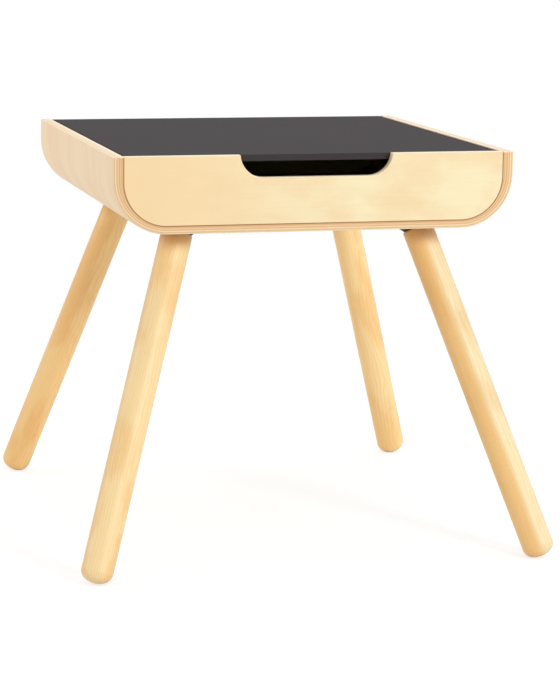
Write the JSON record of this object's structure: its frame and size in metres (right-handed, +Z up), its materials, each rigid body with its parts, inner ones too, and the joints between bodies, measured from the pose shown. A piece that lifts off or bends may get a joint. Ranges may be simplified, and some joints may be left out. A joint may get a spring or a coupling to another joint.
{
  "type": "children's table with storage",
  "caption": "Low wooden children's table on splayed round legs, with a hinged dark top over a bent plywood storage box and a finger notch in the front panel.",
  "frame": {"origin": "on the floor, under the middle of the table", "axes": "+X to the right as seen from the front, +Y from the front panel with the notch to the hinged back, +Z up"},
  "size_m": [0.5952, 0.6406, 0.502],
  "materials": {
    "shell_ply": "clear matt lacquer on bent birch plywood",
    "panel_ply": "clear matt lacquer on birch plywood",
    "dowel_wood": "plain beech",
    "lid_laminate": "matt dark grey laminate",
    "rest_wood": "clear matt lacquer",
    "pad_felt": "dense felt",
    "hinge_steel": "satin",
    "mount_steel": "matt black powder coat",
    "zinc_steel": "zinc plated",
    "leg_wood": "clear satin lacquer on turned beech",
    "screw_steel": "zinc plated"
  },
  "bodies": {
    "table": {"shell": "shell_ply", "front_panel": "panel_ply", "back_panel": "panel_ply", "front_panel_dowels": "dowel_wood", "back_panel_dowels": "dowel_wood", "lid_rest_left": "rest_wood", "lid_rest_right": "rest_wood", "lid_rest_screws": "screw_steel", "lid_pads": "pad_felt", "hinge_left_fixed_leaf": "hinge_steel", "hinge_left_pin": "hinge_steel", "hinge_right_fixed_leaf": "hinge_steel", "hinge_right_pin": "hinge_steel", "hinge_screws_panel": "screw_steel", "leg_front_left": "leg_wood", "leg_front_right": "leg_wood", "leg_back_left": "leg_wood", "leg_back_right": "leg_wood", "leg_mount_front_left": "mount_steel", "leg_mount_front_right": "mount_steel", "leg_mount_back_left": "mount_steel", "leg_mount_back_right": "mount_steel", "leg_insert_front_left": "zinc_steel", "leg_insert_front_right": "zinc_steel", "leg_insert_back_left": "zinc_steel", "leg_insert_back_right": "zinc_steel", "leg_bolt_front_left": "zinc_steel", "leg_bolt_front_right": "zinc_steel", "leg_bolt_back_left": "zinc_steel", "leg_bolt_back_right": "zinc_steel", "leg_mount_screws": "screw_steel"},
    "lid": {"lid": "lid_laminate", "hinge_left_moving_leaf": "hinge_steel", "hinge_right_moving_leaf": "hinge_steel", "hinge_screws_lid": "screw_steel"}
  },
  "joints": [
    {"name": "lid_hinge", "type": "hinge", "parent": "table", "child": "lid", "pos_m": [0, 0.2533, 0.4932], "axis": [-1, 0, 0], "range_deg": [0, 95]}
  ]
}
